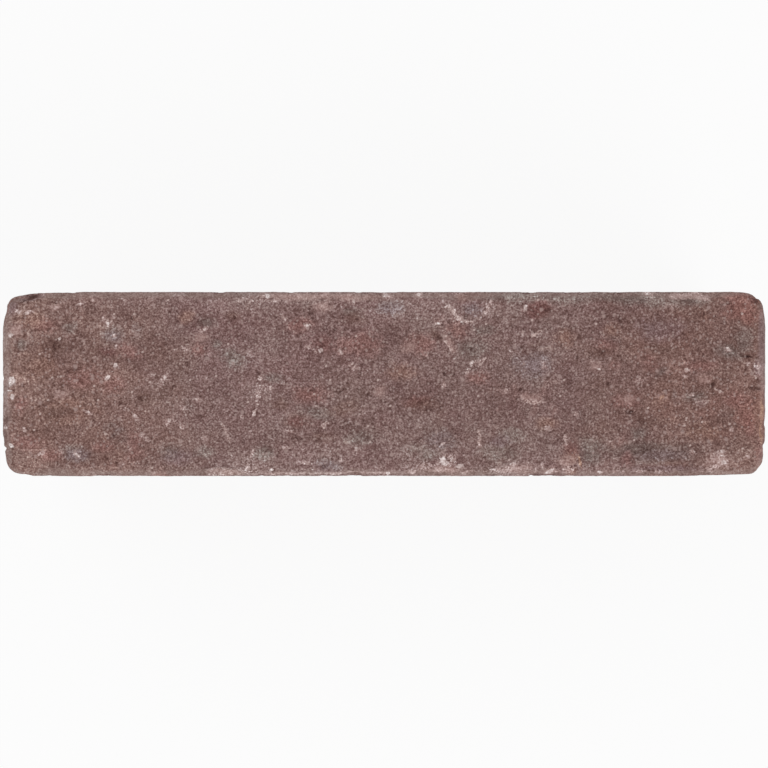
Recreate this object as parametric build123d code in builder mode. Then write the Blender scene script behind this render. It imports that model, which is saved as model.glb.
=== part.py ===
from build123d import *

import os
from dataclasses import dataclass
from math import sqrt

# Tumbled paving brick: one solid piece of hard-fired clay, in millimetres. The brick stands as it is
# laid: on its bed, with the wear face up. X runs along its length, Y across its narrow width, and Z
# from the bed at 0 up to the wear face. The origin is the middle of the bed.

# The block as it left the mould
length = 200.0
width = 48.3
height = 85.0

# The arrises that tumbling has rounded
wear_arris = 2.2
bed_arris = 2.4
fade_radius = 18.0


@dataclass
class WornCorner:
    """The plan of one upright corner, measured from where its two faces would meet.

    Wear starts side_run along the long side and end_run along the short end. It deepens to side_drop
    and end_drop at the two ends of the facet that replaces the corner, and nose rounds that facet.
    """

    side_run: float
    side_facet: float
    side_drop: float
    end_run: float
    end_facet: float
    end_drop: float
    nose: float


back_left = WornCorner(
    side_run=22.5, side_facet=7.5, side_drop=0.31, end_run=8.9, end_facet=1.6, end_drop=1.53, nose=2.8
)
front_left = WornCorner(
    side_run=8.0, side_facet=3.1, side_drop=0.78, end_run=10.1, end_facet=2.6, end_drop=1.16, nose=3.4
)
front_right = WornCorner(
    side_run=21.2, side_facet=2.8, side_drop=0.53, end_run=10.9, end_facet=3.8, end_drop=0.6, nose=3.2
)
back_right = WornCorner(
    side_run=6.8, side_facet=3.2, side_drop=0.49, end_run=7.5, end_facet=2.7, end_drop=0.81, nose=3.3
)


@dataclass
class Knock:
    """A hollow that a blow in the drum left on an arris or a corner.

    faces holds the signs of the faces that meet there, along X, Y and Z, with 0 for the direction in
    which an arris runs. along is how far down that arris the blow fell, from its low end.
    """

    faces: tuple
    along: float
    chord: float
    depth: float


BACK_TOP, FRONT_TOP = (0, 1, 1), (0, -1, 1)
BACK_BED, FRONT_BED = (0, 1, -1), (0, -1, -1)
LEFT_TOP, RIGHT_TOP = (-1, 0, 1), (1, 0, 1)
LEFT_BED, RIGHT_BED = (-1, 0, -1), (1, 0, -1)
FRONT_LEFT, FRONT_RIGHT = (-1, -1, 0), (1, -1, 0)
BACK_LEFT, BACK_RIGHT = (-1, 1, 0), (1, 1, 0)

# Chips are short and deep, and their broken edge is crisp
chips = [
    Knock(BACK_TOP, along=7.0, chord=6.0, depth=0.6),
    Knock(FRONT_TOP, along=57.0, chord=13.0, depth=0.7),
    Knock(FRONT_TOP, along=141.0, chord=16.0, depth=0.65),
    Knock(LEFT_TOP, along=13.5, chord=5.0, depth=0.5),
    Knock(BACK_BED, along=41.0, chord=17.0, depth=1.8),
    Knock(BACK_BED, along=137.0, chord=10.0, depth=1.0),
    Knock(FRONT_BED, along=23.0, chord=11.0, depth=1.1),
    Knock(FRONT_BED, along=112.0, chord=21.0, depth=2.0),
    Knock(FRONT_BED, along=171.0, chord=9.0, depth=0.9),
    Knock(LEFT_BED, along=30.0, chord=13.0, depth=1.3),
    Knock(RIGHT_BED, along=15.0, chord=11.0, depth=1.1),
    Knock(FRONT_LEFT, along=29.0, chord=11.0, depth=0.9),
    Knock(FRONT_RIGHT, along=51.0, chord=14.0, depth=1.1),
    Knock(BACK_LEFT, along=60.0, chord=12.0, depth=1.0),
    Knock(BACK_RIGHT, along=33.0, chord=16.0, depth=1.3),
]

# Bruises are long and shallow, where the arris has been rubbed nearly flat
bruises = [
    Knock(BACK_TOP, along=119.0, chord=26.0, depth=0.45),
    Knock(BACK_TOP, along=172.0, chord=34.0, depth=0.4),
    Knock(FRONT_TOP, along=98.0, chord=30.0, depth=0.4),
    Knock(LEFT_TOP, along=24.0, chord=14.0, depth=0.4),
    Knock(RIGHT_TOP, along=16.0, chord=18.0, depth=0.45),
    Knock(BACK_BED, along=92.0, chord=36.0, depth=0.8),
    Knock(FRONT_BED, along=66.0, chord=28.0, depth=0.6),
    Knock(FRONT_LEFT, along=62.0, chord=24.0, depth=0.5),
    Knock(FRONT_RIGHT, along=22.0, chord=20.0, depth=0.5),
    Knock(BACK_LEFT, along=24.0, chord=26.0, depth=0.6),
    Knock(BACK_RIGHT, along=64.0, chord=20.0, depth=0.5),
]

# Corner blows took more off the points at the bed
corner_blows = [
    Knock((-1, -1, -1), along=0.0, chord=14.0, depth=1.6),
    Knock((1, -1, -1), along=0.0, chord=10.0, depth=1.0),
    Knock((-1, 1, -1), along=0.0, chord=9.0, depth=0.9),
    Knock((1, 1, -1), along=0.0, chord=16.0, depth=2.0),
]

half_size = (length / 2, width / 2, height / 2)
corners = {
    (-1, 1): back_left,
    (-1, -1): front_left,
    (1, -1): front_right,
    (1, 1): back_right,
}


def worn_plan():
    """The outline seen from above, as points and the radius at each, anticlockwise from back left."""
    points, radii = [], []
    for (x_side, y_side), corner in corners.items():
        knees = [
            (corner.side_run, 0.0, fade_radius),
            (corner.side_facet, corner.side_drop, corner.nose),
            (corner.end_drop, corner.end_facet, corner.nose),
            (0.0, corner.end_run, fade_radius),
        ]
        if x_side != y_side:
            order = knees
        else:
            order = reversed(knees)
        for from_end, from_side, radius in order:
            points.append((x_side * (length / 2 - from_end), y_side * (width / 2 - from_side)))
            radii.append(radius)
    return points, radii


def knock_ball(knock, block):
    """Centre and radius of the ball that scoops a knock out of the worn block."""
    meeting_point = [
        side * half if side else knock.along - half for side, half in zip(knock.faces, half_size)
    ]
    meeting_point[2] += height / 2
    set_back = Vertex(*meeting_point).distance_to(block)
    radius = ((knock.chord / 2) ** 2 + knock.depth**2) / (2 * knock.depth)
    stand_off = (radius - knock.depth - set_back) / sqrt(sum(abs(side) for side in knock.faces))
    centre = [place + side * stand_off for place, side in zip(meeting_point, knock.faces)]
    return tuple(centre), radius


with BuildPart() as brick:
    with BuildSketch() as plan:
        outline, outline_radii = worn_plan()
        with BuildLine():
            FilletPolyline(*outline, radius=outline_radii, close=True)
        make_face()
    extrude(amount=height)
    fillet(brick.faces().sort_by(Axis.Z)[-1].edges(), radius=wear_arris)
    fillet(brick.faces().sort_by(Axis.Z)[0].edges(), radius=bed_arris)
    balls = [knock_ball(knock, brick.part) for knock in chips + bruises + corner_blows]
    for ball_centre, ball_radius in balls:
        with Locations(ball_centre):
            Sphere(ball_radius, mode=Mode.SUBTRACT)

brick.part.label = "brick"

os.makedirs("parts", exist_ok=True)
export_step(brick.part, "parts/brick.step")
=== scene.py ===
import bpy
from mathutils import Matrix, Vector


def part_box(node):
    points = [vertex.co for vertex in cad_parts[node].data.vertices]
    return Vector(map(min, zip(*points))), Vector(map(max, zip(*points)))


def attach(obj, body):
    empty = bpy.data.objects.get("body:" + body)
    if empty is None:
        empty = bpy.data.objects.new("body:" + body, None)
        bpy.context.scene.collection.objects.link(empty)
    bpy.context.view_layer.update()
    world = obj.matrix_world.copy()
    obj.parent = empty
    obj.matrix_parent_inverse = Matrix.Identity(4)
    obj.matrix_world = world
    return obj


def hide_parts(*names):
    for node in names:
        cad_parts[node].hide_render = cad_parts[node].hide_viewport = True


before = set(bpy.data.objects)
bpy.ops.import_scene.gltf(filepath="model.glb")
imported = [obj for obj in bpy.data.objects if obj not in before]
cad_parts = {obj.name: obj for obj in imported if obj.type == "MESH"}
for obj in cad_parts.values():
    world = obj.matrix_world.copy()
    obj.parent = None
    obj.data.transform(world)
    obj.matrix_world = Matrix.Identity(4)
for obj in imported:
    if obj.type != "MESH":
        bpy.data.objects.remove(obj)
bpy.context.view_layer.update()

import math

import bmesh
import bpy
import numpy as np
from mathutils import Vector


# The camera looks straight down on the wear face, with the brick's length across the picture. In the
# photograph the brick fills 762.3 of 768 pixels, so its outline sets how high the camera hangs. The
# outline is widest where the rounded arris of the wear face ends.
photo_px = 768
outline_px = 762.3
wear_arris = 0.0022
brick_low, brick_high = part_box("brick")
brick_long = brick_high.x - brick_low.x
outline_level = brick_high.z - wear_arris

camera_data = bpy.data.cameras.new("overhead")
camera_data.lens = 100
camera_data.sensor_width = 36
view_width = brick_long * photo_px / outline_px
camera = bpy.data.objects.new("overhead", camera_data)
camera.location = (0, 0, outline_level + view_width * camera_data.lens / camera_data.sensor_width)
bpy.context.scene.collection.objects.link(camera)
bpy.context.scene.camera = camera
bpy.context.scene.view_settings.view_transform = "Standard"


# The brick is one block of clay, struck in a sanded mould and fired. Its skin is an even net of faces
# laid over the block and drawn down onto the worn shape, so that every grain of relief has faces to
# stand on, close together at the arrises.
net_along = 281
net_across = 69
net_up = 85
net_crowding = 0.25


def node(tree, kind, inputs=(), **settings):
    """Adds a node. Inputs come by name or in order, as values or as sockets to link."""
    made = tree.nodes.new(kind)
    for name, value in settings.items():
        setattr(made, name, value)
    for key, value in inputs.items() if isinstance(inputs, dict) else enumerate(inputs):
        if isinstance(value, bpy.types.NodeSocket):
            tree.links.new(value, made.inputs[key])
        elif value is not None:
            made.inputs[key].default_value = value
    return made


def calc(tree, operation, *values):
    return node(tree, "ShaderNodeMath", values, operation=operation).outputs[0]


def vector_calc(tree, operation, *values):
    made = node(tree, "ShaderNodeVectorMath", values, operation=operation)
    return next(socket for socket in made.outputs if socket.enabled)


def eased(tree, value, start, end, low=0.0, high=1.0):
    """Low before start, high after end, and a smooth step between them."""
    return node(
        tree, "ShaderNodeMapRange", (value, start, end, low, high), interpolation_type="SMOOTHSTEP"
    ).outputs[0]


def noise(tree, place, size, detail=2.0, roughness=0.5, distortion=0.0):
    """Noise from 0 to 1 with waves of this size, in the units of place."""
    scale = calc(tree, "DIVIDE", 1.0, size)
    made = node(
        tree,
        "ShaderNodeTexNoise",
        {"Vector": place, "Scale": scale, "Detail": detail, "Roughness": roughness, "Distortion": distortion},
    )
    return made.outputs[0]


def geometry_tree(name, inputs):
    """A Geometry Nodes tree with named inputs, each given as name, kind and usual value."""
    tree = bpy.data.node_groups.new(name, "GeometryNodeTree")
    tree.interface.new_socket("Geometry", in_out="INPUT", socket_type="NodeSocketGeometry")
    for label, kind, usual in inputs:
        socket = tree.interface.new_socket(label, in_out="INPUT", socket_type="NodeSocket" + kind)
        if usual is not None:
            socket.default_value = usual
    tree.interface.new_socket("Geometry", in_out="OUTPUT", socket_type="NodeSocketGeometry")
    return tree, tree.nodes.new("NodeGroupInput").outputs, tree.nodes.new("NodeGroupOutput").inputs


def pass_through(piece, tree, values):
    """Runs the piece's mesh through a tree and leaves the result as a plain mesh."""
    modifier = piece.modifiers.new(tree.name, "NODES")
    modifier.node_group = tree
    for socket in tree.interface.items_tree:
        if socket.in_out == "INPUT" and socket.name in values:
            modifier[socket.identifier] = values[socket.name]
    depsgraph = bpy.context.evaluated_depsgraph_get()
    made = bpy.data.meshes.new_from_object(
        piece.evaluated_get(depsgraph), preserve_all_data_layers=True, depsgraph=depsgraph
    )
    piece.modifiers.remove(modifier)
    before = piece.data
    piece.data = made
    bpy.data.meshes.remove(before)


clay = bpy.data.materials.new("fired_clay")
block_mesh = bpy.data.meshes.new("paving_brick")
loose = bmesh.new()
loose.from_mesh(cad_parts["brick"].data)
bmesh.ops.remove_doubles(loose, verts=loose.verts, dist=1e-6)
loose.to_mesh(block_mesh)
loose.free()
brick = bpy.data.objects.new("paving_brick", block_mesh)
bpy.context.scene.collection.objects.link(brick)

net, given, result = geometry_tree(
    "Net over the block",
    [
        ("Points along", "Int", net_along),
        ("Points across", "Int", net_across),
        ("Points up", "Int", net_up),
        ("Crowding at the arrises", "Float", net_crowding),
        ("Clay", "Material", None),
    ],
)
around = node(net, "GeometryNodeBoundBox", (given["Geometry"],))
size = vector_calc(net, "SUBTRACT", around.outputs["Max"], around.outputs["Min"])
cube = node(
    net,
    "GeometryNodeMeshCube",
    {
        "Size": size,
        "Vertices X": given["Points along"],
        "Vertices Y": given["Points across"],
        "Vertices Z": given["Points up"],
    },
)
# On the cube, heights run from -1/2 to 1/2 of its size. A sine draws the rows towards both ends.
here = node(net, "GeometryNodeInputPosition").outputs[0]
unit = node(net, "ShaderNodeSeparateXYZ", (vector_calc(net, "DIVIDE", here, size),)).outputs
swing = calc(net, "SINE", calc(net, "MULTIPLY_ADD", unit["Z"], math.tau, math.pi))
drawn = calc(
    net,
    "SUBTRACT",
    unit["Z"],
    calc(net, "MULTIPLY", swing, calc(net, "DIVIDE", given["Crowding at the arrises"], math.tau)),
)
crowded = node(net, "ShaderNodeCombineXYZ", (unit["X"], unit["Y"], drawn)).outputs[0]
middle = vector_calc(
    net, "SCALE", vector_calc(net, "ADD", around.outputs["Max"], around.outputs["Min"]), None, None, 0.5
)
placed = node(
    net,
    "GeometryNodeSetPosition",
    {
        "Geometry": cube.outputs["Mesh"],
        "Position": vector_calc(net, "MULTIPLY_ADD", crowded, size, middle),
    },
).outputs[0]


def keep(tree, geometry, name, value, kind="FLOAT", domain="POINT"):
    """Stores a field on the mesh under a name, for later trees and for the material."""
    return node(
        tree,
        "GeometryNodeStoreNamedAttribute",
        {"Geometry": geometry, "Name": name, "Value": value},
        data_type=kind,
        domain=domain,
    ).outputs[0]


# The distance over the net to the nearest arris is the middle one of the distances to the three
# pairs of faces, because the least of them is the point's own face.
from_middle = vector_calc(net, "ABSOLUTE", vector_calc(net, "SUBTRACT", here, middle))
outward_mm = vector_calc(net, "SCALE", from_middle, None, None, -1000.0)
inward = vector_calc(net, "MULTIPLY_ADD", size, (500.0, 500.0, 500.0), outward_mm)
gaps = node(net, "ShaderNodeSeparateXYZ", (inward,)).outputs
most = calc(net, "MAXIMUM", gaps["X"], calc(net, "MAXIMUM", gaps["Y"], gaps["Z"]))
least = calc(net, "MINIMUM", gaps["X"], calc(net, "MINIMUM", gaps["Y"], gaps["Z"]))
total = calc(net, "ADD", gaps["X"], calc(net, "ADD", gaps["Y"], gaps["Z"]))
arris_gap = calc(net, "SUBTRACT", calc(net, "SUBTRACT", total, most), least)
facing = node(net, "ShaderNodeSeparateXYZ", (node(net, "GeometryNodeInputNormal").outputs[0],)).outputs
# The sides are numbered 1, 2 and 3 along X, Y and Z, and less than 0 where they face the other way
up_or_down = calc(net, "MULTIPLY", facing["Z"], 3.0)
side_number = calc(net, "ADD", facing["X"], calc(net, "MULTIPLY_ADD", facing["Y"], 2.0, up_or_down))
named = keep(net, placed, "arris_gap", arris_gap)
named = keep(net, named, "net_place", here, "FLOAT_VECTOR")
named = keep(net, named, "net_side", side_number, "FLOAT", "FACE")
worn = node(
    net,
    "GeometryNodeProximity",
    {"Geometry": given["Geometry"], "Sample Position": here},
    target_element="FACES",
)
named = keep(net, named, "worn_away", calc(net, "MULTIPLY", worn.outputs["Distance"], 1000.0))
drawn_down = node(
    net, "GeometryNodeSetPosition", {"Geometry": named, "Position": worn.outputs["Position"]}
).outputs[0]
smooth = node(net, "GeometryNodeSetShadeSmooth", {"Geometry": drawn_down}).outputs[0]
real = node(net, "GeometryNodeRealizeInstances", (smooth,)).outputs[0]
clad = node(net, "GeometryNodeSetMaterial", {"Geometry": real, "Material": given["Clay"]}).outputs[0]
net.links.new(clad, result["Geometry"])
pass_through(brick, net, {"Clay": clay})

# The wear face, as the photograph shows it. Each mark is given in the photograph's pixels, as its
# middle, half its length, half its width and its turn from the brick's length in degrees. Clouds
# of colour come first, from the fire and the clay.
mm_per_px = brick_long * 1000 / outline_px
middle_px = (383.9, 384.0)

grey_clouds = [
    (114, 335, 11, 8, 10), (76, 454, 15, 8, -10), (233, 358, 13, 9, -30), (273, 378, 11, 6, 0),
    (217, 344, 6, 5, 0), (265, 453, 10, 8, 0), (330, 465, 12, 5, -8), (392, 307, 14, 7, 0),
    (471, 309, 9, 5, 0), (536, 366, 17, 15, 10), (440, 440, 14, 11, 0), (427, 455, 12, 6, 0),
    (360, 438, 16, 8, 0), (731, 352, 13, 8, -10), (726, 305, 7, 5, 0), (660, 372, 8, 5, 20),
    (695, 397, 11, 6, 10), (591, 447, 17, 11, 0), (638, 433, 9, 7, 0), (662, 455, 32, 8, 4),
    (500, 452, 18, 9, 0), (70, 328, 8, 6, 0), (520, 297, 34, 6, 0), (562, 298, 34, 6, 0),
    (645, 299, 34, 8, 0), (688, 300, 26, 7, 0), (744, 340, 10, 14, 0), (640, 450, 40, 9, 0),
    (590, 455, 14, 10, 0), (206, 322, 9, 6, 0), (420, 449, 10, 6, 0), (318, 413, 18, 7, -20),
    (204, 452, 10, 6, 0), (350, 312, 9, 5, 0), (485, 330, 12, 6, 0), (470, 350, 16, 11, 0),
    (610, 297, 28, 5, 0), (20, 345, 6, 6, 0), (170, 452, 12, 8, 0), (510, 436, 14, 8, 0),
]
red_clouds = [
    (129, 351, 13, 7, -15), (83, 379, 18, 11, 10), (738, 306, 17, 13, -20), (745, 312, 8, 8, 0),
    (538, 309, 11, 7, 20), (27, 443, 13, 9, 0), (52, 456, 10, 6, 0), (200, 350, 7, 6, 0),
    (113, 386, 12, 7, 20), (478, 378, 12, 6, 0), (628, 401, 13, 8, 0), (572, 451, 11, 8, 60),
    (627, 458, 6, 8, 0), (104, 447, 12, 6, 0), (310, 395, 16, 9, 0), (360, 345, 22, 12, 0),
    (700, 365, 14, 6, 0), (20, 405, 7, 8, 0), (605, 345, 12, 8, 0), (762, 425, 7, 42, 0),
    (45, 325, 12, 8, 0), (418, 402, 14, 6, 0), (735, 400, 12, 8, 0), (752, 425, 7, 16, 0),
    (420, 345, 16, 10, 0), (300, 325, 14, 8, 0),
]
burnt_clouds = [
    (744, 307, 17, 13, -25), (750, 318, 8, 8, 0), (572, 454, 5, 4, 0), (748, 412, 12, 18, 0),
]
dark_red_clouds = [
    (538, 309, 14, 8, 10), (297, 422, 9, 5, 0), (533, 315, 6, 5, 0), (754, 299, 6, 4, -30),
    (572, 452.5, 2.6, 2, 0), (107, 352, 9, 4, -15), (324, 345, 12, 9, 0),
]
ochre_clouds = [
    (662, 397, 9, 6, 30), (705, 380, 7, 4, 0), (612, 331, 9, 7, 0), (565, 338, 10, 9, 0),
    (759, 417, 6, 24, 0), (572, 471, 6, 4, 0), (228, 473, 13, 3, 0), (186, 316, 9, 7, 20),
    (546, 424, 10, 6, 0), (570, 458, 8, 6, 0), (40, 365, 20, 14, 0), (70, 410, 26, 14, 0),
    (705, 432, 18, 8, 0), (758, 300, 4, 6, 0), (400, 372, 14, 8, 0), (30, 320, 14, 8, 0),
]
mauve_clouds = [
    (762, 340, 4, 36, 0), (758, 367, 5, 9, 0), (392, 308, 13, 6, 0), (440, 440, 13, 9, 0),
    (536, 365, 17, 13, 0), (627, 457, 5, 8, 0), (328, 466, 13, 6, 0), (178, 457, 16, 8, 0),
    (78, 455, 12, 6, 0), (114, 336, 9, 6, 0), (665, 469, 32, 4, 0), (12, 306, 6, 9, 0),
    (30, 297, 13, 4, 10), (500, 441, 12, 6, 0), (662, 455, 24, 6, 0), (660, 330, 26, 14, 0),
    (471, 309, 11, 7, 0),
]
brown_clouds = [
    (107, 351, 14, 7, -15), (297, 421, 13, 8, 10), (281, 404, 9, 6, 0), (144, 398, 8, 6, 60),
    (54, 346, 12, 9, 0), (645, 420, 14, 7, 0), (600, 352, 14, 5, 0), (352, 318, 12, 7, 0),
    (436, 335, 8, 4, -40), (345, 408, 16, 8, 20), (425, 405, 16, 6, 0), (62, 412, 16, 6, 0),
    (232, 316, 8, 5, 0), (660, 350, 16, 6, 0), (540, 312, 8, 5, 0), (322, 437, 14, 5, 0),
]
pink_rubs = [
    (15, 330, 7, 7, 0), (321, 307, 9, 6, 0), (379, 392, 7, 6, 0), (532, 397, 12, 4, 0),
    (330, 296, 16, 4, 0), (444, 469, 14, 4, 0), (518, 468, 13, 4, 5), (549, 471, 6, 4, 20),
    (60, 394, 9, 5, 0), (300, 296, 40, 4, 0), (352, 297, 34, 4, 0), (628, 399, 8, 5, 0),
    (662, 396, 6, 4, 0), (594, 365, 8, 6, 0), (203, 337, 8, 4, 0), (565, 460, 9, 7, 20),
    (718, 460, 12, 7, 20), (450, 342, 11, 3.4, -58), (410, 347, 8, 5, 30), (55, 308, 7, 4, 20),
    (705, 380, 6, 4, 0), (462, 298, 6, 5, 0), (690, 296, 26, 3.5, 0),
]
# Lime, mortar and rubbed sand left paler marks. A speck has only its middle, and is one grain of sand
pale_smears = [
    (28, 312.5, 5, 1.8, 15), (17.7, 310.5, 2.2, 1.8, 0), (80, 304, 4, 1.2, 15),
    (103, 319, 1.5, 2.4, 10), (107, 323.5, 2.6, 2.8, 40), (114.5, 335.5, 2.6, 1.8, 0),
    (107, 377.5, 2.6, 2.2, 40), (116, 346.5, 1.7, 1.6, 0), (88, 412.5, 5, 1.7, -25),
    (135.5, 417.5, 4.6, 1.9, -50), (125, 409, 1.8, 2, 0), (7.5, 379, 2, 1.5, 0),
    (169, 421, 4.6, 2.6, 20), (166, 424.5, 2, 2.2, 0), (181.5, 426, 3.6, 2.2, -50),
    (164.5, 377, 3.6, 2.9, 30), (161, 384, 3.6, 2.4, 20), (76.5, 455, 3.5, 1.3, -40),
    (40.5, 453.5, 3.4, 1.6, 20), (142.5, 435.5, 3.2, 2.6, 0), (148, 440, 2.6, 2.2, 0),
    (182, 408, 2.4, 2, 0), (198, 400, 3, 2.2, 20), (204.8, 329, 3.4, 2.4, 40), (200, 331, 2, 1.6, 0),
    (240, 299.5, 3.6, 2.8, 0), (252, 301, 1.8, 1.1, 0), (272, 301, 5, 1.7, 10),
    (263.5, 296.3, 1.9, 1.8, 0), (283, 317, 3.6, 2.2, -40), (307.5, 326, 3.6, 2.6, 0),
    (308.5, 347, 3.6, 2, 0), (316, 352, 2, 1.4, 0), (341, 351.5, 1.4, 3.4, 20), (356, 368, 5, 2, 0),
    (351, 364, 2.6, 1.6, 0), (260, 378.5, 2.2, 2.8, 0), (258, 394, 2.3, 4.2, 10),
    (270.5, 388, 2, 2.2, 0), (254, 413, 1.9, 3.6, -10), (242, 416.5, 2.2, 1.8, 0), (324, 425, 5, 2, 35),
    (289, 431, 4.8, 1.5, -20), (252, 453, 1.2, 4.8, -25), (229, 439, 1.5, 4, 20), (204.5, 438, 3, 2, 0),
    (353.5, 301.5, 2.2, 2.6, 0), (385, 295, 5.4, 2.8, 0), (418, 295, 4.4, 2.8, 10),
    (452, 309, 5.4, 1.9, -48), (468, 322, 4.2, 1.4, -5), (438, 323.7, 4.2, 1, 10),
    (490, 304.5, 1.7, 5.4, -15), (486, 311, 3, 1.8, 40), (525.3, 307.7, 2, 3.8, 15),
    (534, 335.7, 1.6, 1, 0), (522.5, 332.5, 1.7, 3.6, 0), (471.5, 363, 2, 2.2, 0),
    (480.5, 363, 2, 3.2, -20), (484, 359, 3, 1.2, 30), (467, 372.5, 1.8, 1.3, 0),
    (443.5, 386, 2, 3.6, -20), (506, 391, 1.8, 1.9, 0), (531, 401.5, 9, 2, 0),
    (548, 428.5, 3.4, 2.6, -20), (443, 443.5, 3.4, 1.2, 15), (446, 455.5, 2.3, 1.8, 0),
    (453, 458, 3.1, 3.4, 0), (424, 467, 7, 4, 10), (437, 464, 4, 1.8, 30), (512.5, 465.5, 3, 2.4, 0),
    (494, 469.5, 5, 1.1, 8), (502, 471.5, 6, 1.4, 5), (520, 468, 6, 1.6, -10), (542, 466, 2.4, 2.2, 0),
    (480, 445.5, 1.8, 1.8, 0), (570, 468.5, 4.4, 1.9, 0), (647, 293.5, 3, 2.2, 0), (690, 297, 15, 2, 0),
    (696, 294, 13, 1.8, 0), (674, 295, 8, 1.5, 0), (688, 295, 7, 1.6, 0), (706, 298, 5, 2.2, -20),
    (758.3, 367, 1.5, 4.6, 0), (728, 350, 2.4, 2.2, 0), (748, 364, 2.3, 1.8, 0),
    (686.8, 369.3, 2.9, 1, 0), (684, 375.5, 2.2, 2.1, 0), (598.3, 368.7, 2.4, 0.8, -30),
    (719.5, 391, 4.4, 1.1, -25), (692, 395, 3.4, 1.5, 0), (705.5, 402, 1.3, 2.1, -30),
    (697, 402, 2.6, 1, 20), (720, 452.5, 5, 2.8, 10), (713, 459, 2.5, 1.6, 0), (714, 467.5, 6, 3.4, 20),
    (726, 462, 3, 1.8, 0), (748, 457, 2.4, 1.2, -40), (600, 472, 2.8, 1.1, 0), (615, 471.5, 4, 1.3, 0),
    (576, 414, 2.4, 2.4, 0), (732, 430, 2, 1.5, 0), (693, 453, 3.6, 2.4, -30), (24, 430, 1.6, 3.4, 30),
    (56, 308, 3, 1.4, 0), (286, 448, 5, 1.5, 0), (340, 460, 1.9, 1.7, 0), (306, 463, 5, 1.6, 0),
    (248.5, 467.5, 1.7, 1.5, 0), (224, 472, 18, 3, 0), (300, 474, 40, 0.9, 0), (362, 473, 22, 0.9, 0),
    (436, 470, 12, 1.8, 0), (470, 472, 8, 1.3, 0), (560, 472, 8, 1.2, 0), (650, 472, 14, 1.4, 0),
    (411, 472.7, 4, 1.6, 0), (637, 380, 1.7, 5, 0), (641.5, 380.5, 4.8, 1.7, 18),
]
lime_spots = [
    (10.5, 382, 2.8, 3.8, -25), (11.8, 397, 1.8, 2.4, 0), (10.7, 335.5, 2.2, 2.1, 0),
    (59.5, 338.5, 1.5, 1.5, 0), (115, 365.5, 2, 1.9, 0), (11, 446, 2.9, 1.5, -35),
    (77, 455, 2.2, 1.3, -40), (107.5, 378, 1.5, 1.4, 0), (108, 323.5, 1.3, 1.2, 0),
    (204.5, 329.5, 1.6, 1.1, 40), (164.5, 377.5, 1.8, 1.5, 0), (169, 420.5, 1.6, 1.1, 20),
    (88, 412, 1.7, 1, -25), (134.5, 416, 1.6, 1, -50), (5, 427, 1.4, 1.7, 0),
    (267.7, 295.5, 2.1, 2.1, 0), (320.5, 350.5, 2.1, 2.3, 0), (308, 326, 1.5, 1.3, 0),
    (254.3, 414, 1.5, 2.2, 0), (272, 469.5, 1.3, 1.2, 0), (388, 473.3, 1.5, 1.4, 40),
    (385, 294.6, 3.4, 2, 0), (353.7, 301.3, 1.2, 1.6, 0), (418.5, 294.5, 2, 1.5, 0),
    (438.5, 323.7, 1.3, 0.7, 10), (462, 322, 1.3, 0.9, 0), (525.5, 307.7, 1.5, 2.8, 15),
    (471.7, 363, 1, 1.1, 0), (443.8, 461.2, 3.8, 3.5, 0), (452, 458, 1.2, 1.1, 0),
    (459.5, 466.2, 3.3, 2.1, 10), (549, 471.5, 4.2, 1.7, 25), (443, 443.5, 1.9, 0.9, 15),
    (600, 472, 2.2, 1, 0), (598.5, 369, 1.3, 0.8, -30), (728, 349.5, 1.5, 1.5, 0),
    (686.5, 369, 1.4, 0.8, 0), (647, 293.6, 1.6, 1.2, 0), (723.6, 462.2, 2, 1.8, 0),
    (721.5, 451.5, 1.6, 1.6, 0),
]
sand_specks = [
    (26, 314), (39.5, 354), (52, 377.5), (60.5, 376.5), (48, 400), (40, 414), (34, 430), (80, 406),
    (94, 386), (98, 400), (106, 434), (114, 314), (124, 300), (134, 314), (132, 392), (142.5, 352),
    (150, 382), (152, 468), (168, 300), (190, 380), (216, 376), (228, 344), (248, 402), (256, 468),
    (314, 394), (316, 406), (326, 366), (330, 380), (346, 396), (352, 364), (356, 336), (378, 380),
    (390, 406), (368, 426), (370, 442), (324, 428), (446, 336), (474, 330), (486, 324), (478, 396),
    (509, 460), (532, 320), (538, 300), (560, 396), (564, 380), (596, 324), (634, 440), (648, 408),
    (684.5, 425.5), (686.5, 418), (690, 445.5), (702, 422), (720, 392), (729.5, 424), (742.5, 448.5),
    (742, 314), (756, 378),
]
# Cracks and scratches are paths, and each pit has its middle and its radius. The material paints shade along
# the cracks and into the pits.
cracks = [
    [(64, 372), (72, 370), (82, 368)], [(20, 302), (27, 298), (37, 294.5)],
    [(433, 333), (437, 337), (442, 339)], [(443, 375), (450, 373.5), (456, 374)],
    [(735, 354), (742, 355.5), (750, 357), (759, 356.5)], [(748, 387.5), (756, 388.5), (763, 389)],
    [(596, 353), (600, 351.5), (603, 353.5)], [(625, 411), (629, 413.5), (633, 411)],
    [(607, 381), (608, 387)], [(712, 381), (713, 389)], [(290, 439), (298, 437), (304, 441)],
    [(646, 471), (652, 472)],
]
pale_lines = [
    [(445, 306), (451, 310), (456, 315), (463, 321), (474, 322.5)],
    [(444, 340), (449, 345), (454, 354)], [(520, 396), (525, 400.5), (533, 403), (543, 401)],
    [(530, 337), (536, 334), (543, 330)], [(478, 444), (480, 438), (478, 428)],
    [(564, 434), (566, 440), (566, 445)], [(221, 423), (226, 431), (229, 441)],
]
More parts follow.
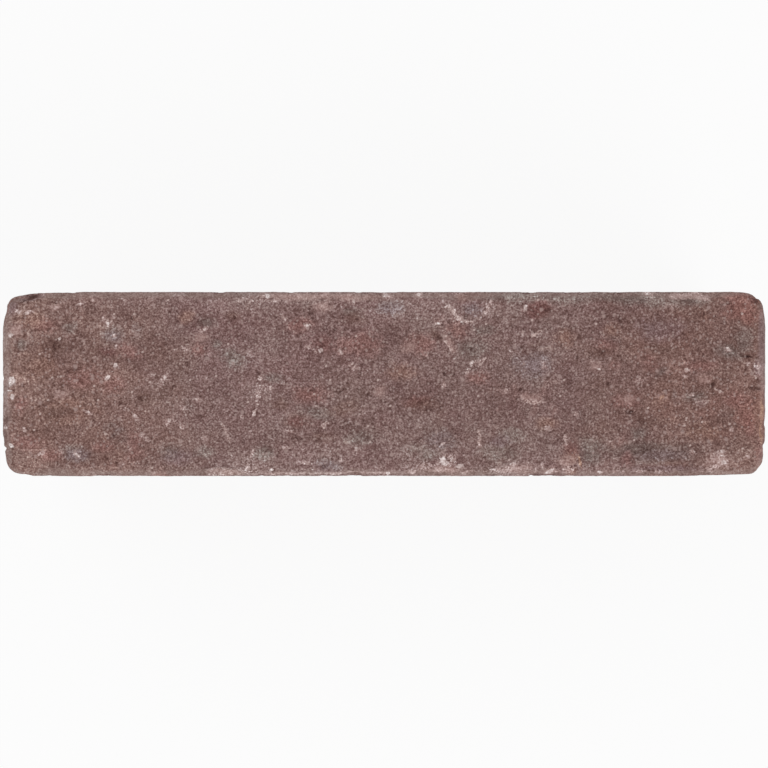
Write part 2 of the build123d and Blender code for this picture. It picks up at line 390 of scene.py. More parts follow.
dark_pits = [
    (324, 466, 2.8), (447.8, 459.4, 2.1), (120.5, 402.5, 2.1), (258.3, 373.7, 1.8), (234.3, 317.5, 1.7),
    (758, 380.5, 2.4), (631, 411.5, 2.1), (613, 403, 1.2), (713.5, 384.5, 1.8), (603, 352.5, 1.3),
    (607, 384, 1), (116, 463.7, 1.8), (298, 440, 1.2), (520.5, 389.5, 1.5), (548.5, 309.5, 1.8),
    (132, 318, 1.7), (319.5, 439, 1.5), (577, 358, 1.6), (653, 472, 1.8), (618, 356, 1.6),
    (444, 374, 1.7), (186.5, 363.5, 1.8), (201, 417, 1.1), (361, 364.5, 1.6), (360, 374, 1.4),
    (368, 394, 1.6), (324, 328.5, 1.6), (746, 370, 1.6), (747, 356, 1.5), (114, 436, 1.5),
    (340, 392, 2), (334, 330, 1.5), (310, 314, 1.5), (626, 356, 1.4), (174, 386, 1.4), (510, 342, 1.3),
    (522, 304.5, 1.5), (68, 318, 1.4), (466, 316.5, 1.3), (728, 446, 1.3), (210, 388, 1.3),
]
rust_streaks = [
    (762, 412, 1.5, 13, 0), (761.5, 436, 1.3, 7, 0), (580, 462, 1.4, 5, 10), (662, 397, 3, 1.6, 40),
]
# Dark marks. Those at the corners and along the left edge are painted shade, and those beside the pits and
# cracks are painted shade in them.
dark_marks_and_shade = [
    (5, 421.5, 2.6, 3.2, 0), (5, 435, 1.8, 4.4, 10), (34, 295, 6, 1.5, 8), (21, 302.5, 5, 1.2, 28),
    (13, 465, 2.4, 1.3, -45), (758, 381, 3, 2.2, 0), (756, 300.5, 2.4, 3, 35), (572, 453, 1.6, 1.2, 0),
    (48, 414.5, 3.8, 2, 0), (58, 417, 1.6, 1.6, 0), (338.5, 391, 2.6, 3, 0), (140, 398, 2.4, 3.6, 30),
    (54, 347, 1.4, 4, 10), (650, 472.4, 3.4, 1.4, 0), (429, 410, 4, 1.6, 0), (747, 356.3, 6, 0.9, 0),
]
pebbles = [
    (321, 307, 8, 6, 0), (379, 392, 7, 6, 0), (548, 429, 4, 3.4, -30), (15, 330, 5, 5, 0),
    (129, 351, 10, 6, -15), (628, 399, 9, 6, 0), (594, 365, 9, 7, 0), (231, 361, 7, 6, -30),
    (60, 394, 9, 5, 0), (662, 396, 8, 5, 0), (565, 462, 10, 6, 20), (740, 311, 10, 8, 0),
]
# Where the ground is paler or darker as a whole, whatever its colour
paler_ground = [
    (18, 308, 34, 26, 0), (16, 462, 44, 24, 0), (10, 465, 22, 16, 0), (5, 350, 10, 60, 0),
    (758, 465, 14, 14, 0), (320, 472, 120, 7, 0), (480, 472, 60, 7, 0), (262, 464, 60, 12, 0),
    (12, 385, 20, 40, 0), (330, 296, 120, 8, 0), (120, 297, 120, 7, 0), (690, 296, 60, 6, 0),
    (430, 299, 70, 9, 0), (560, 297, 40, 6, 0), (110, 472, 90, 6, 0), (30, 455, 20, 14, 0),
    (28, 452, 18, 12, 0), (15, 330, 9, 9, 0), (520, 297, 26, 6, 0), (273, 379, 12, 8, 0),
    (536, 366, 16, 13, 0), (471, 309, 10, 7, 0), (321, 307, 10, 7, 0), (328, 466, 13, 6, 0),
    (32, 454, 16, 12, 0), (129, 351, 10, 7, 0), (215, 305, 60, 14, 0), (420, 302, 70, 15, 0),
    (475, 312, 30, 12, 0), (432, 460, 36, 14, 0), (520, 468, 40, 8, 0), (735, 462, 34, 16, 0),
    (600, 468, 30, 8, 0), (235, 355, 26, 16, 0), (115, 330, 18, 12, 0), (690, 298, 40, 6, 0),
    (755, 367, 8, 10, 0), (285, 425, 30, 14, 0), (330, 450, 40, 16, 0), (20, 385, 16, 34, 0),
    (260, 390, 14, 16, 0), (350, 400, 30, 12, 0),
]
darker_ground_and_corner_shade = [
    (440, 439, 18, 12, 0), (500, 442, 18, 10, 0), (662, 454, 42, 12, 0), (612, 298, 22, 6, 0),
    (575, 335, 16, 10, 0), (538, 309, 12, 8, 0), (690, 335, 80, 30, 0), (640, 400, 60, 34, 0),
    (150, 350, 30, 16, 0), (60, 348, 20, 8, 0), (705, 395, 34, 20, 0), (655, 450, 50, 10, 0),
    (590, 430, 30, 14, 0), (420, 395, 34, 18, 0), (300, 430, 24, 12, 0), (715, 430, 34, 20, 0),
    (350, 430, 24, 10, 0), (500, 400, 24, 20, 0), (348, 392, 30, 16, 0), (392, 342, 22, 14, 0),
    # The last two marks here are painted shade at the two top corners
    (620, 320, 34, 16, 0), (760, 303, 4, 6, 0), (31, 294, 8, 3, 10),
]

points = np.empty(len(brick.data.vertices) * 3, np.float32)
brick.data.vertices.foreach_get("co", points)
points = points.reshape(-1, 3).astype(float) * 1000
# The marks reach 4 mm down the sides
reach_down = 4.0
above_reach = points[:, 2] - (brick_high.z * 1000 - reach_down)
seen = above_reach > 0
# The wear face is nearer the camera than the outline, so it looks a little larger
nearness = (camera.location.z - outline_level) / (camera.location.z - points[seen, 2] / 1000)
seen_x, seen_y = points[seen, 0] * nearness, points[seen, 1] * nearness
far = 99.0


def in_mm(x, y):
    return (x - middle_px[0]) * mm_per_px, (middle_px[1] - y) * mm_per_px


def place_in(x, y, half_length, half_width, turn):
    """Each point's place in a mark, in half lengths along it and half widths across it."""
    x, y = in_mm(x, y)
    c, s = math.cos(math.radians(turn)), math.sin(math.radians(turn))
    along = ((seen_x - x) * c + (seen_y - y) * s) / (half_length * mm_per_px)
    across = ((seen_y - y) * c - (seen_x - x) * s) / (half_width * mm_per_px)
    return along, across


def clouds(marks):
    """How far inside the nearest mark each point of the wear face lies: 1 at its middle, 0 at its edge."""
    field = np.full(len(seen_x), -1.0)
    for cloud in marks:
        field = np.maximum(field, 1 - np.hypot(*place_in(*cloud)))
    whole = np.full(len(points), -1.0)
    whole[seen] = field
    return whole


def spots(marks):
    """Each point's place in its nearest mark, in half lengths and half widths, and its gap from it in mm.

    Places change evenly from point to point, so that marks finer than the net keep their shape.
    """
    nearest = np.full((len(seen_x), 3), far)
    for spot in marks:
        along, across = place_in(*spot)
        half_length, half_width = spot[2:4]
        gap = (np.hypot(along, across) - 1) * min(half_length, half_width) * mm_per_px
        nearer = gap < nearest[:, 2]
        nearest[nearer] = np.stack([along, across, gap], 1)[nearer]
    whole = np.full((len(points), 3), far)
    whole[seen] = nearest
    return whole


def lines(strokes):
    """The offset from the nearest stroke in mm, its size, and how far inside the stroke's ends."""
    near = np.full(len(seen_x), far)
    offset, inside = near.copy(), -near
    well_inside = 5.0
    for stroke in strokes:
        path = [np.array(in_mm(x, y)) for x, y in stroke]
        for i, (start, end) in enumerate(zip(path, path[1:])):
            run = end - start
            length = np.hypot(*run)
            ahead = ((seen_x - start[0]) * run[0] + (seen_y - start[1]) * run[1]) / length
            side = ((seen_y - start[1]) * run[0] - (seen_x - start[0]) * run[1]) / length
            past = np.maximum(np.maximum(-ahead, ahead - length), 0)
            gap = np.hypot(side, past)
            ends = np.minimum(
                ahead if i == 0 else np.inf, length - ahead if i == len(path) - 2 else np.inf
            )
            nearer = gap < near
            near[nearer] = gap[nearer]
            offset[nearer] = np.copysign(gap, side)[nearer]
            inside[nearer] = np.broadcast_to(np.minimum(ends, well_inside), near.shape)[nearer]
    whole = np.tile((far, far, -far), (len(points), 1))
    whole[seen] = np.stack([offset, near, inside], 1)
    return whole


def store(name, values):
    """Keeps a value or three at each point of the net, for the relief and the material to read."""
    kind, key = ("FLOAT_VECTOR", "vector") if values.ndim == 2 else ("FLOAT", "value")
    layer = brick.data.attributes.new(name, kind, "POINT")
    layer.data.foreach_set(key, values.astype(np.float32).ravel())


store("fire_marks", np.stack([clouds(grey_clouds), clouds(red_clouds), clouds(ochre_clouds)], 1))
store("clay_marks", np.stack([clouds(brown_clouds), clouds(pink_rubs), clouds(dark_red_clouds)], 1))
store("ground_marks", np.stack([clouds(paler_ground), clouds(darker_ground_and_corner_shade), clouds(burnt_clouds)], 1))
store("pale_marks", spots(pale_smears))
store("lime_marks", spots(lime_spots))
store("speck_marks", spots([(x, y, 1.3, 1.0, 30) for x, y in sand_specks]))
store("rust_marks", spots(rust_streaks))
# The pits are painted dark here, as painted shade, together with the dark marks
store("stain_and_shade_marks", spots([(x, y, r, r, 0) for x, y, r in dark_pits] + dark_marks_and_shade))
store("crack_marks", lines(cracks))
store("line_marks", lines(pale_lines))
store("pit_marks", clouds([(x, y, r, r, 0) for x, y, r in dark_pits]))
store("pebble_marks", clouds(pebbles))
store("mauve_marks", clouds(mauve_clouds))
store("wear_face", np.clip(above_reach / (reach_down / 2), 0, 1))

# The relief of the skin, in millimetres. Drying warped and creased it, sand and air left grains and
# pits, and the tumbling drum dented the faces and rubbed the arrises.
skin, given, result = geometry_tree(
    "Fired and tumbled skin",
    [
        ("Warp height", "Float", 0.3),
        ("Warp size", "Float", 38.0),
        ("Dent depth", "Float", 0.22),
        ("Dent size", "Float", 8.0),
        ("Arris rub", "Float", 0.55),
        ("Arris rub size", "Float", 4.5),
        ("Straight above", "Float", 66.0),
        ("Straight by", "Float", 78.0),
        ("Pit depth", "Float", 0.5),
        ("Pit spacing", "Float", 5.0),
        ("Crease depth", "Float", 0.28),
        ("Crease size", "Float", 11.0),
        ("Roughening of the sides", "Float", 1.2),
        ("Sand height", "Float", 0.16),
        ("Sand size", "Float", 1.5),
        ("Pebble height", "Float", 0.3),
        ("Seed", "Int", 7),
        ("Clay", "Material", None),
    ],
)


def attribute(tree, name, kind="FLOAT"):
    return node(tree, "GeometryNodeInputNamedAttribute", {"Name": name}, data_type=kind).outputs["Attribute"]


here = node(skin, "GeometryNodeInputPosition").outputs[0]
shift = calc(skin, "MULTIPLY", given["Seed"], 31.7)
skin_place = vector_calc(
    skin,
    "MULTIPLY_ADD",
    here,
    (1000.0, 1000.0, 1000.0),
    node(skin, "ShaderNodeCombineXYZ", (shift, shift, shift)).outputs[0],
)


def swell(size, detail=2.0, roughness=0.5, distortion=0.0):
    """Noise from -1 to 1 over the skin."""
    return calc(skin, "MULTIPLY_ADD", noise(skin, skin_place, size, detail, roughness, distortion), 2.0, -1.0)


warp = calc(skin, "MULTIPLY", swell(given["Warp size"], 1.0), given["Warp height"])
dents = calc(skin, "MULTIPLY", swell(given["Dent size"], 3.0), given["Dent depth"])
gap = attribute(skin, "arris_gap")
on_arris = eased(skin, gap, 3.4, 1.2)
bitten = eased(skin, noise(skin, skin_place, given["Arris rub size"], 3.0, 0.6), 0.46, 0.62)
rub = calc(skin, "MULTIPLY", calc(skin, "MULTIPLY", on_arris, bitten), given["Arris rub"])
cells = node(
    skin,
    "ShaderNodeTexVoronoi",
    {"Vector": skin_place, "Scale": calc(skin, "DIVIDE", 1.0, given["Pit spacing"])},
)
chosen = node(skin, "ShaderNodeSeparateXYZ", (cells.outputs["Color"],)).outputs["X"]
hollow = eased(skin, cells.outputs["Distance"], 0.3, 0.1)
random_pits = calc(skin, "MULTIPLY", hollow, eased(skin, chosen, 0.55, 0.85))
seen_pits = eased(skin, attribute(skin, "pit_marks"), -0.4, 0.4)
pits = calc(skin, "MULTIPLY", calc(skin, "MAXIMUM", random_pits, seen_pits), given["Pit depth"])
ridge = calc(skin, "ABSOLUTE", swell(given["Crease size"], 3.0, 0.55, 0.4))
in_places = eased(skin, noise(skin, skin_place, 9.0, 1.0), 0.48, 0.6)
random_creases = calc(skin, "MULTIPLY", eased(skin, ridge, 0.09, 0.01), in_places)
crack_path = node(skin, "ShaderNodeSeparateXYZ", (attribute(skin, "crack_marks", "FLOAT_VECTOR"),)).outputs
seen_creases = calc(
    skin, "MULTIPLY", eased(skin, crack_path["Y"], 0.9, 0.2), eased(skin, crack_path["Z"], -0.5, 0.4)
)
creases = calc(
    skin, "MULTIPLY", calc(skin, "MAXIMUM", random_creases, seen_creases), given["Crease depth"]
)
outward = node(skin, "GeometryNodeInputNormal").outputs["Normal"]
facing_up = node(skin, "ShaderNodeSeparateXYZ", (outward,)).outputs["Z"]
sideways = eased(skin, facing_up, 0.6, 0.2)
rougher = calc(skin, "MULTIPLY_ADD", sideways, given["Roughening of the sides"], 1.0)
creases = calc(skin, "MULTIPLY", creases, rougher)
dents = calc(skin, "MULTIPLY", dents, rougher)
coarse = calc(skin, "MULTIPLY", swell(given["Sand size"], 2.0, 0.6), given["Sand height"])
sand = calc(skin, "MULTIPLY", coarse, eased(skin, on_arris, 0.0, 1.0, 1.0, 0.45))
pebble = eased(skin, attribute(skin, "pebble_marks"), -0.1, 0.7)
domes = calc(skin, "MULTIPLY", pebble, given["Pebble height"])
fine_relief = calc(
    skin,
    "SUBTRACT",
    calc(skin, "ADD", sand, domes),
    calc(skin, "ADD", pits, creases),
)
# The sides run straight up to the wear face's arrises, where the photograph shows a clean outline,
# and nothing stands below the bed.
level = calc(skin, "MULTIPLY", node(skin, "ShaderNodeSeparateXYZ", (here,)).outputs["Z"], 1000.0)
under_arris = calc(
    skin,
    "MULTIPLY",
    eased(skin, level, given["Straight above"], given["Straight by"]),
    eased(skin, facing_up, 0.75, 0.3),
)
calm = eased(skin, under_arris, 0.0, 1.0, 1.0, 0.2)
broad_relief = calc(skin, "MULTIPLY", calc(skin, "SUBTRACT", calc(skin, "ADD", warp, dents), rub), calm)
highest = eased(skin, facing_up, -0.3, -0.8, 1.0, 0.0)
relief = calc(skin, "MINIMUM", calc(skin, "ADD", fine_relief, broad_relief), highest)
# The fine relief is also kept for the material, which paints shade into its pits and creases and light onto
# its sand and pebbles
marked = keep(skin, given["Geometry"], "relief", fine_relief)
pushed = node(
    skin,
    "GeometryNodeSetPosition",
    {
        "Geometry": marked,
        "Offset": vector_calc(
            skin, "SCALE", outward, None, None, calc(skin, "MULTIPLY", relief, 0.001)
        ),
    },
).outputs[0]
real = node(skin, "GeometryNodeRealizeInstances", (pushed,)).outputs[0]
finished = node(skin, "GeometryNodeSetMaterial", {"Geometry": real, "Material": given["Clay"]}).outputs[0]
skin.links.new(finished, result["Geometry"])
pass_through(brick, skin, {"Clay": clay})

# The six sides are unrolled into one sheet, each at its own scale in sheet widths a millimetre, with
# the wear face the finest. Left and low are where the side's corner lies in the sheet.
sheet_px = 1024
unrolled = {
    3: ((1, 0, 0), (0, 1, 0), 4.80, 4, 783),
    2: ((-1, 0, 0), (0, 0, 1), 3.75, 4, 460),
    -2: ((1, 0, 0), (0, 0, 1), 3.75, 4, 137),
    1: ((0, 1, 0), (0, 0, 1), 3.75, 760, 460),
    -1: ((0, -1, 0), (0, 0, 1), 3.75, 760, 137),
    -3: ((1, 0, 0), (0, -1, 0), 2.70, 4, 4),
}


def read_attribute(mesh, name, width):
    layer = mesh.attributes[name]
    values = np.empty(len(layer.data) * width, np.float32)
    layer.data.foreach_get("vector" if width == 3 else "value", values)
    return values.reshape(-1, 3) if width == 3 else values


mesh = brick.data
net_place = read_attribute(mesh, "net_place", 3) * 1000
net_side = np.rint(read_attribute(mesh, "net_side", 1)).astype(int)
corner_point = np.empty(len(mesh.loops), np.int32)
mesh.loops.foreach_get("vertex_index", corner_point)
corner_count = np.empty(len(mesh.polygons), np.int32)
mesh.polygons.foreach_get("loop_total", corner_count)
corner_side = np.repeat(net_side, corner_count)
corner_place = net_place[corner_point]
lay = np.zeros((len(mesh.loops), 2))
for side, (right, up, px_per_mm, left, low) in unrolled.items():
    there = corner_side == side
    for axis, (direction, start) in enumerate(((right, left), (up, low))):
        reach = corner_place[there] @ np.array(direction)
        lay[there, axis] = (start + (reach - reach.min()) * px_per_mm) / sheet_px
sheet = mesh.uv_layers.new(name="OFBake")
sheet.uv.foreach_set("vector", lay.astype(np.float32).ravel())
for name in ("net_place", "net_side"):
    mesh.attributes.remove(mesh.attributes[name])


def tint(red, green, blue):
    """A colour given as it shows on screen, from 0 to 255, for a node."""
    steps = [value / 255 for value in (red, green, blue)]
    return (*(x / 12.92 if x <= 0.04045 else ((x + 0.055) / 1.055) ** 2.4 for x in steps), 1.0)


def mixed(tree, share, first, second, blend="MIX"):
    """The first colour with this share of the second. The node's inputs 6 and 7 are its two colours."""
    return node(
        tree, "ShaderNodeMix", {"Factor": share, 6: first, 7: second}, data_type="RGBA", blend_type=blend
    ).outputs[2]


clay.use_nodes = True
wiring = clay.node_tree
wiring.nodes.clear()
place = vector_calc(
    wiring, "SCALE", node(wiring, "ShaderNodeTexCoord").outputs["Object"], None, None, 1000.0
)


def read(name):
    return node(wiring, "ShaderNodeAttribute", attribute_name=name).outputs


def read_three(name):
    """The three values stored for a point under this name, as X, Y and Z."""
    return node(wiring, "ShaderNodeSeparateXYZ", (read(name)["Vector"],)).outputs


def wave(size, detail=2.0, roughness=0.5, distortion=0.0):
    """Noise from -1 to 1 over the clay."""
    return calc(
        wiring, "MULTIPLY_ADD", noise(wiring, place, size, detail, roughness, distortion), 2.0, -1.0
    )


def weighed(*pairs):
    """The sum of values, each times its weight."""
    total = 0.0
    for value, weight in pairs:
        total = calc(wiring, "MULTIPLY_ADD", value, weight, total)
    return total


fine = wave(0.46, 1.0, 0.5)
grit = wave(1.05, 1.5, 0.55)
lumps = wave(3.2, 2.0)
drift = wave(11.0, 2.0)
breadth = wave(34.0, 1.0)
ragged = weighed((fine, 0.25), (grit, 0.85), (lumps, 1.0))

fire = read_three("fire_marks")
clay_marks = read_three("clay_marks")
ground = read_three("ground_marks")
wear_face = read("wear_face")["Fac"]
hidden = calc(wiring, "SUBTRACT", 1.0, wear_face)
gap = read("arris_gap")["Fac"]
worn_away = read("worn_away")["Fac"]
relief = read("relief")["Fac"]


def patch(seen, size, rarity, start=-0.5, end=0.75, rough=0.6, rarer=0.8):
    """A mask of the marks seen in the photograph and of chance ones, which are fewer on the wear face."""
    chance = calc(wiring, "MULTIPLY_ADD", breadth, 0.5, wave(size, 2.0, 0.5, 0.3))
    chance = calc(wiring, "MULTIPLY", calc(wiring, "SUBTRACT", chance, rarity), 2.6)
    chance = calc(wiring, "SUBTRACT", chance, calc(wiring, "MULTIPLY", wear_face, rarer))
    field = calc(wiring, "MULTIPLY_ADD", ragged, rough, calc(wiring, "MAXIMUM", seen, chance))
    return eased(wiring, field, start, end)


def sand(spacing, radius, share):
    """A mask of single sand grains of this radius, which a share of the places hold."""
    cells = node(wiring, "ShaderNodeTexVoronoi", {"Vector": place, "Scale": 1 / spacing})
    lottery = node(wiring, "ShaderNodeSeparateColor", (cells.outputs["Color"],)).outputs[0]
    uneven = calc(wiring, "MULTIPLY_ADD", grit, 0.15, cells.outputs["Distance"])
    body = eased(wiring, uneven, radius / spacing * 1.3, radius / spacing * 0.6)
    return calc(wiring, "MULTIPLY", body, eased(wiring, lottery, 1 - share, 1.05 - share))


grey = patch(fire["X"], 9.0, 0.24)
red = patch(fire["Y"], 12.0, 0.22)
ochre = patch(fire["Z"], 8.0, 0.30)
brown = patch(clay_marks["X"], 8.5, 0.26)
pink = patch(clay_marks["Y"], 5.0, 0.36)
dark_red = patch(clay_marks["Z"], 7.0, 0.4)
burnt = patch(ground["Z"], 14.0, 0.4)
mauve = patch(read("mauve_marks")["Fac"], 9.0, 0.3)
# Chance smears are few and small, and -1 stands for no marks seen
chance_smear = patch(-1.0, 3.6, 0.47, -0.75, 0.45, 0.5, 0.63)
# The sand's grains crowd into short bent ridges, which catch the light in the bump and are painted lighter
# too, as painted light. The furrows between them are painted darker, as painted shade.
ridges = eased(wiring, calc(wiring, "ABSOLUTE", wave(1.15, 1.5, 0.6, 0.4)), 0.22, 0.02)
shaded_furrows = eased(wiring, calc(wiring, "ABSOLUTE", wave(0.85, 1.0, 0.5, 0.6)), 0.14, 0.0)
grainy = calc(wiring, "MAXIMUM", ridges, eased(wiring, fine, 0.0, 0.4))


def mark(name, rough, start, end):
    """A mask of the marks stored under this name, with edges as rough as this."""
    nearest = read_three(name)
    across = calc(wiring, "MULTIPLY", nearest["Y"], nearest["Y"])
    reach = calc(wiring, "SQRT", calc(wiring, "MULTIPLY_ADD", nearest["X"], nearest["X"], across))
    inside = calc(wiring, "SUBTRACT", calc(wiring, "MULTIPLY_ADD", ragged, rough, 1.0), reach)
    close = eased(wiring, nearest["Z"], 1.2, 0.9)
    return calc(wiring, "MULTIPLY", eased(wiring, inside, start, end), close)


smear = mark("pale_marks", 0.6, -0.45, 0.35)
pale = calc(
    wiring,
    "MAXIMUM",
    calc(wiring, "MULTIPLY", smear, calc(wiring, "MULTIPLY_ADD", grainy, 0.35, 0.65)),
    calc(wiring, "MULTIPLY", chance_smear, calc(wiring, "MULTIPLY_ADD", grainy, 0.5, 0.5)),
)
lime = mark("lime_marks", 0.55, -0.5, 0.3)
rust = mark("rust_marks", 0.5, -0.5, 0.4)
speck = mark("speck_marks", 0.1, -0.3, 0.3)
# Painted shade in the pits, beside some cracks and at the corners, together with the other dark marks
stain_and_painted_shade = mark("stain_and_shade_marks", 0.4, -0.4, 0.4)
pale_sand = sand(0.9, 0.33, 0.34)
coarse_sand = sand(2.3, 0.55, 0.2)


def stroke(name, half_width):
    """A mask of the strokes stored under this name, with their sides roughened by the grit."""
    line = read_three(name)
    offset = calc(wiring, "MULTIPLY_ADD", grit, 0.28, line["X"])
    thin = eased(wiring, calc(wiring, "ABSOLUTE", offset), half_width * 1.35, half_width * 0.4)
    close = eased(wiring, line["Y"], 1.5, 0.9)
    inside = eased(wiring, calc(wiring, "MULTIPLY_ADD", grit, 0.3, line["Z"]), -0.2, 0.5)
    return calc(wiring, "MULTIPLY", thin, calc(wiring, "MULTIPLY", close, inside))


# The crack mask dents the bump and paints shade along each crack
crack = stroke("crack_marks", 0.3)
broken_up = calc(wiring, "MULTIPLY_ADD", grainy, 0.6, 0.4)
pale_line = calc(wiring, "MULTIPLY", stroke("line_marks", 0.45), broken_up)

# The kiln's fire left the two ends of the brick warmer than its middle
along = node(wiring, "ShaderNodeSeparateXYZ", (vector_calc(wiring, "ABSOLUTE", place),)).outputs["X"]
warm = eased(wiring, weighed((along, 1.0), (drift, 26.0), (breadth, 16.0)), 40.0, 95.0)
tone = eased(wiring, weighed((breadth, 0.5), (drift, 0.7), (lumps, 0.3)), -0.5, 0.5)
colour = mixed(
    wiring,
    tone,
    mixed(wiring, warm, tint(129, 99, 96), tint(129, 100, 93)),
    mixed(wiring, warm, tint(129, 103, 98), tint(134, 101, 93)),
)
# The darker ground marks include painted shade at the two top corners
ground_tone = weighed(
    (eased(wiring, calc(wiring, "MULTIPLY_ADD", ragged, 0.5, ground["X"]), -0.6, 0.8), 0.22),
    (eased(wiring, calc(wiring, "MULTIPLY_ADD", ragged, 0.5, ground["Y"]), -0.6, 0.8), -0.2),
)
# Where the kiln's gases reached a side, it fired darker and greyer in broad clouds
flashed = eased(wiring, weighed((wave(52.0, 2.0, 0.5), 1.0), (ragged, 0.12)), 0.0, 0.4)
flash = calc(wiring, "MULTIPLY", flashed, hidden)
# The drum rubbed the arrises, more so at the two ends, and unevenly down the sides
at_ends = eased(wiring, along, 95.0, 98.0)
patchy = calc(wiring, "MULTIPLY", wave(6.0, 3.0, 0.6), hidden)
rubbed = eased(
    wiring,
    weighed((gap, 1.0), (lumps, 1.4), (grit, 0.8), (drift, 2.2), (at_ends, -0.9), (patchy, 3.5)),
    1.9,
    0.5,
)
# A knock that went deep left broken clay, which is redder than the skin
broken = eased(wiring, weighed((worn_away, 1.0), (lumps, 0.5), (grit, 0.3)), 1.1, 1.9)


def drifting(lump_share, first, second):
    """A colour that drifts from one tint to another."""
    return mixed(wiring, eased(wiring, weighed((drift, 1.0), (lumps, lump_share)), -0.3, 0.3), first, second)


# Each coat of colour lies over those before it, as strong as its share
coats = [
    (flash, 0.6, tint(104, 86, 84)),
    (rubbed, 0.65, drifting(0.7, tint(144, 119, 112), tint(158, 135, 130))),
    (grey, 0.85, drifting(0.6, tint(117, 98, 93), tint(138, 118, 112))),
    (mauve, 0.5, tint(127, 103, 106)),
    (red, 0.75, tint(137, 97, 91)),
    (burnt, 0.75, tint(137, 95, 87)),
    (ochre, 0.7, tint(143, 108, 97)),
    (brown, 0.8, tint(114, 85, 78)),
    (dark_red, 0.85, tint(116, 80, 76)),
    (pink, 0.8, tint(160, 129, 123)),
    (broken, 0.55, tint(141, 100, 91)),
    (pale, 0.82, tint(182, 154, 149)),
    (pale_line, 0.8, tint(188, 160, 154)),
    (rust, 0.75, tint(175, 136, 117)),
    (lime, 0.85, tint(212, 193, 189)),
]
for mask, share, shown in coats:
    colour = mixed(wiring, calc(wiring, "MULTIPLY", mask, share), colour, shown)

# Rubbed, pink and limed places are smoother, so the grain shows less there
smoothness = calc(wiring, "MULTIPLY", calc(wiring, "MAXIMUM", rubbed, pink), 0.45)
smoothness = calc(wiring, "MAXIMUM", smoothness, calc(wiring, "MULTIPLY", lime, 0.35))
contrast = calc(wiring, "SUBTRACT", 1.0, smoothness)
# The shade, as the logarithm of how much brighter it makes the colour. Part is the clay's own grain
# and tone, and part is painted light and shade. The fine grain, the grit and the ridges that raise the
# bump are painted lighter where they stand up and darker where they sink, the furrows are painted
# shade, and the relief, the cracks and the pits add painted shade in hollows and painted light on
# raised grains. What is taken off at the end keeps the mean tone as the colours set it.
shade = weighed(
    (calc(wiring, "MULTIPLY", fine, contrast), 1.45),
    (calc(wiring, "MULTIPLY", ridges, contrast), 0.26),
    (calc(wiring, "MULTIPLY", shaded_furrows, contrast), -0.26),
    (calc(wiring, "MULTIPLY", grit, contrast), 0.75),
    (lumps, 0.3),
    (drift, 0.18),
    # Painted shade in the relief's pits and creases, painted light on its sand and pebbles
    (relief, 0.4),
    # Painted shade along the cracks
    (crack, -0.5),
    # Painted shade in the pits, beside some cracks and at the corners, with the other dark marks
    (stain_and_painted_shade, -0.5),
    (ground_tone, 1.0),
)
shade = calc(wiring, "SUBTRACT", shade, 0.037)
# The clay's red is a little stronger in some places than in others
hue = calc(wiring, "MULTIPLY", wave(6.5, 3.0), 0.05)


def strengthened(share, more=0.0):
    """The shade as a multiplier. Pale grains are greyer than the clay, so the red swings less."""
    return calc(wiring, "POWER", math.e, calc(wiring, "MULTIPLY_ADD", shade, share, more))


swings = (strengthened(0.82, hue), strengthened(1.05), strengthened(1.1))
colour = mixed(wiring, 1.0, colour, node(wiring, "ShaderNodeCombineColor", swings).outputs[0], "MULTIPLY")
grain_share = calc(wiring, "MULTIPLY", calc(wiring, "MAXIMUM", pale_sand, coarse_sand), contrast)
colour = mixed(wiring, calc(wiring, "MULTIPLY", grain_share, 0.6), colour, tint(180, 155, 150))
colour = mixed(wiring, calc(wiring, "MULTIPLY", speck, 0.75), colour, tint(206, 183, 177))

finest = wave(0.34, 1.0)
height = weighed(
    (calc(wiring, "MULTIPLY", fine, contrast), 0.9),
    (calc(wiring, "MULTIPLY", finest, contrast), 0.3),
    (calc(wiring, "MULTIPLY", ridges, contrast), 0.5),
    (grit, 0.6),
    (grain_share, 0.5),
    (crack, -1.2),
    (pale, 0.3),
)
bump = node(wiring, "ShaderNodeBump", {"Strength": 1.0, "Distance": 0.00014, "Height": height})
roughness = weighed((fine, 0.04), (smoothness, -0.14))
shader = node(
    wiring,
    "ShaderNodeBsdfPrincipled",
    {
        "Base Color": colour,
        "Roughness": calc(wiring, "ADD", roughness, 0.9),
        "Specular IOR Level": 0.3,
        "Normal": bump.outputs["Normal"],
    },
)
node(wiring, "ShaderNodeOutputMaterial", (shader.outputs[0],))
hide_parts("brick")
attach(brick, "root")


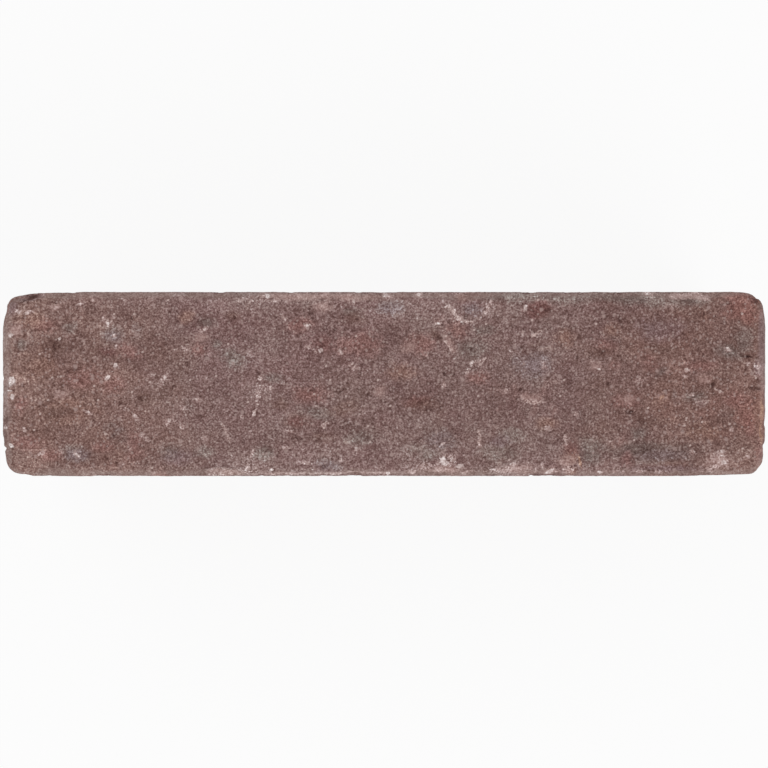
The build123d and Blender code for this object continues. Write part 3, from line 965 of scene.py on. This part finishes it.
# The brick stands on a plain white floor under soft studio light. The camera sees the floor white,
# and only lightly shaded round the brick.
floor_mesh = bpy.data.meshes.new("floor")
half = 3.0
floor_corners = [(-half, -half, 0), (half, -half, 0), (half, half, 0), (-half, half, 0)]
floor_mesh.from_pydata(floor_corners, [], [(0, 1, 2, 3)])
floor = bpy.data.objects.new("floor", floor_mesh)
bpy.context.scene.collection.objects.link(floor)
paper = bpy.data.materials.new("white_paper")
paper.use_nodes = True
wiring = paper.node_tree
wiring.nodes.clear()
matt = node(wiring, "ShaderNodeBsdfDiffuse", {"Color": (0.85, 0.85, 0.85, 1.0)})
glow = node(wiring, "ShaderNodeEmission", {"Color": (1.0, 1.0, 1.0, 1.0), "Strength": 1.0})
rays = node(wiring, "ShaderNodeLightPath").outputs
share = calc(wiring, "MULTIPLY", rays["Is Camera Ray"], 0.9)
seen_floor = node(wiring, "ShaderNodeMixShader", (share, matt.outputs[0], glow.outputs[0]))
node(wiring, "ShaderNodeOutputMaterial", (seen_floor.outputs[0],))
floor.data.materials.append(paper)

world = bpy.data.worlds.new("studio")
bpy.context.scene.world = world
world.use_nodes = True
wiring = world.node_tree
wiring.nodes.clear()
rays = node(wiring, "ShaderNodeLightPath").outputs
clear_view = calc(wiring, "MAXIMUM", rays["Is Camera Ray"], rays["Is Glossy Ray"])
strength = calc(wiring, "MULTIPLY_ADD", clear_view, 0.4, 0.6)
sky = node(wiring, "ShaderNodeBackground", {"Color": (1.0, 1.0, 1.0, 1.0), "Strength": strength})
node(wiring, "ShaderNodeOutputWorld", (sky.outputs[0],))


def softbox(name, place, width, watts):
    lamp = bpy.data.lights.new(name, "AREA")
    lamp.shape = "SQUARE"
    lamp.size = width
    lamp.energy = watts
    held = bpy.data.objects.new(name, lamp)
    held.location = place
    held.rotation_euler = (-Vector(place)).to_track_quat("-Z", "Y").to_euler()
    bpy.context.scene.collection.objects.link(held)


softbox("window_side", (0.65, -0.95, 1.1), 0.9, 8.0)
softbox("room_side", (-0.8, 0.9, 1.0), 1.2, 4.8)
